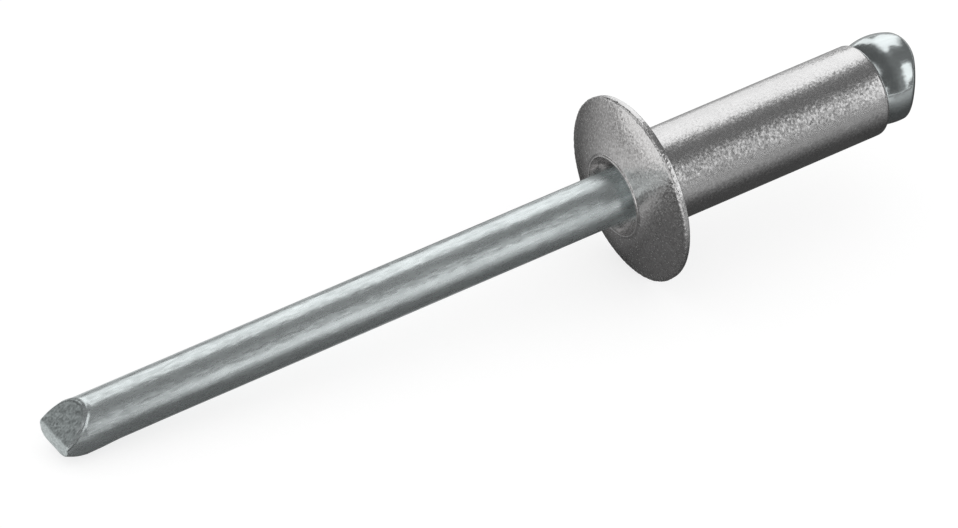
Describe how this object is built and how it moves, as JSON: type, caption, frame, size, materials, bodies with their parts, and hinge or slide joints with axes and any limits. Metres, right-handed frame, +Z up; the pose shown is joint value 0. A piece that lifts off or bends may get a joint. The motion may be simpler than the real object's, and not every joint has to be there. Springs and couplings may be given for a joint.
{
  "type": "pop rivet",
  "caption": "Open-end blind rivet as supplied: a domed-flange aluminium tube on a zinc-plated steel mandrel with a wedge-cut tip.",
  "frame": {"origin": "on the surface the rivet lies on, under the middle of its bounding box", "axes": "+Z up; +X along the rivet from the mandrel's cut tip towards its head; the rivet's own axis rises 6.4 degrees towards +X, because it lies on the rim of its flange and on the tip of its mandrel"},
  "size_m": [0.0418, 0.0082, 0.0081],
  "materials": {
    "aluminium": "tumbled, fine grain, satin",
    "plated_steel": "bright zinc plated, drawn wire"
  },
  "bodies": {
    "root": {"rivet_body": "aluminium", "mandrel": "plated_steel"}
  },
  "joints": []
}
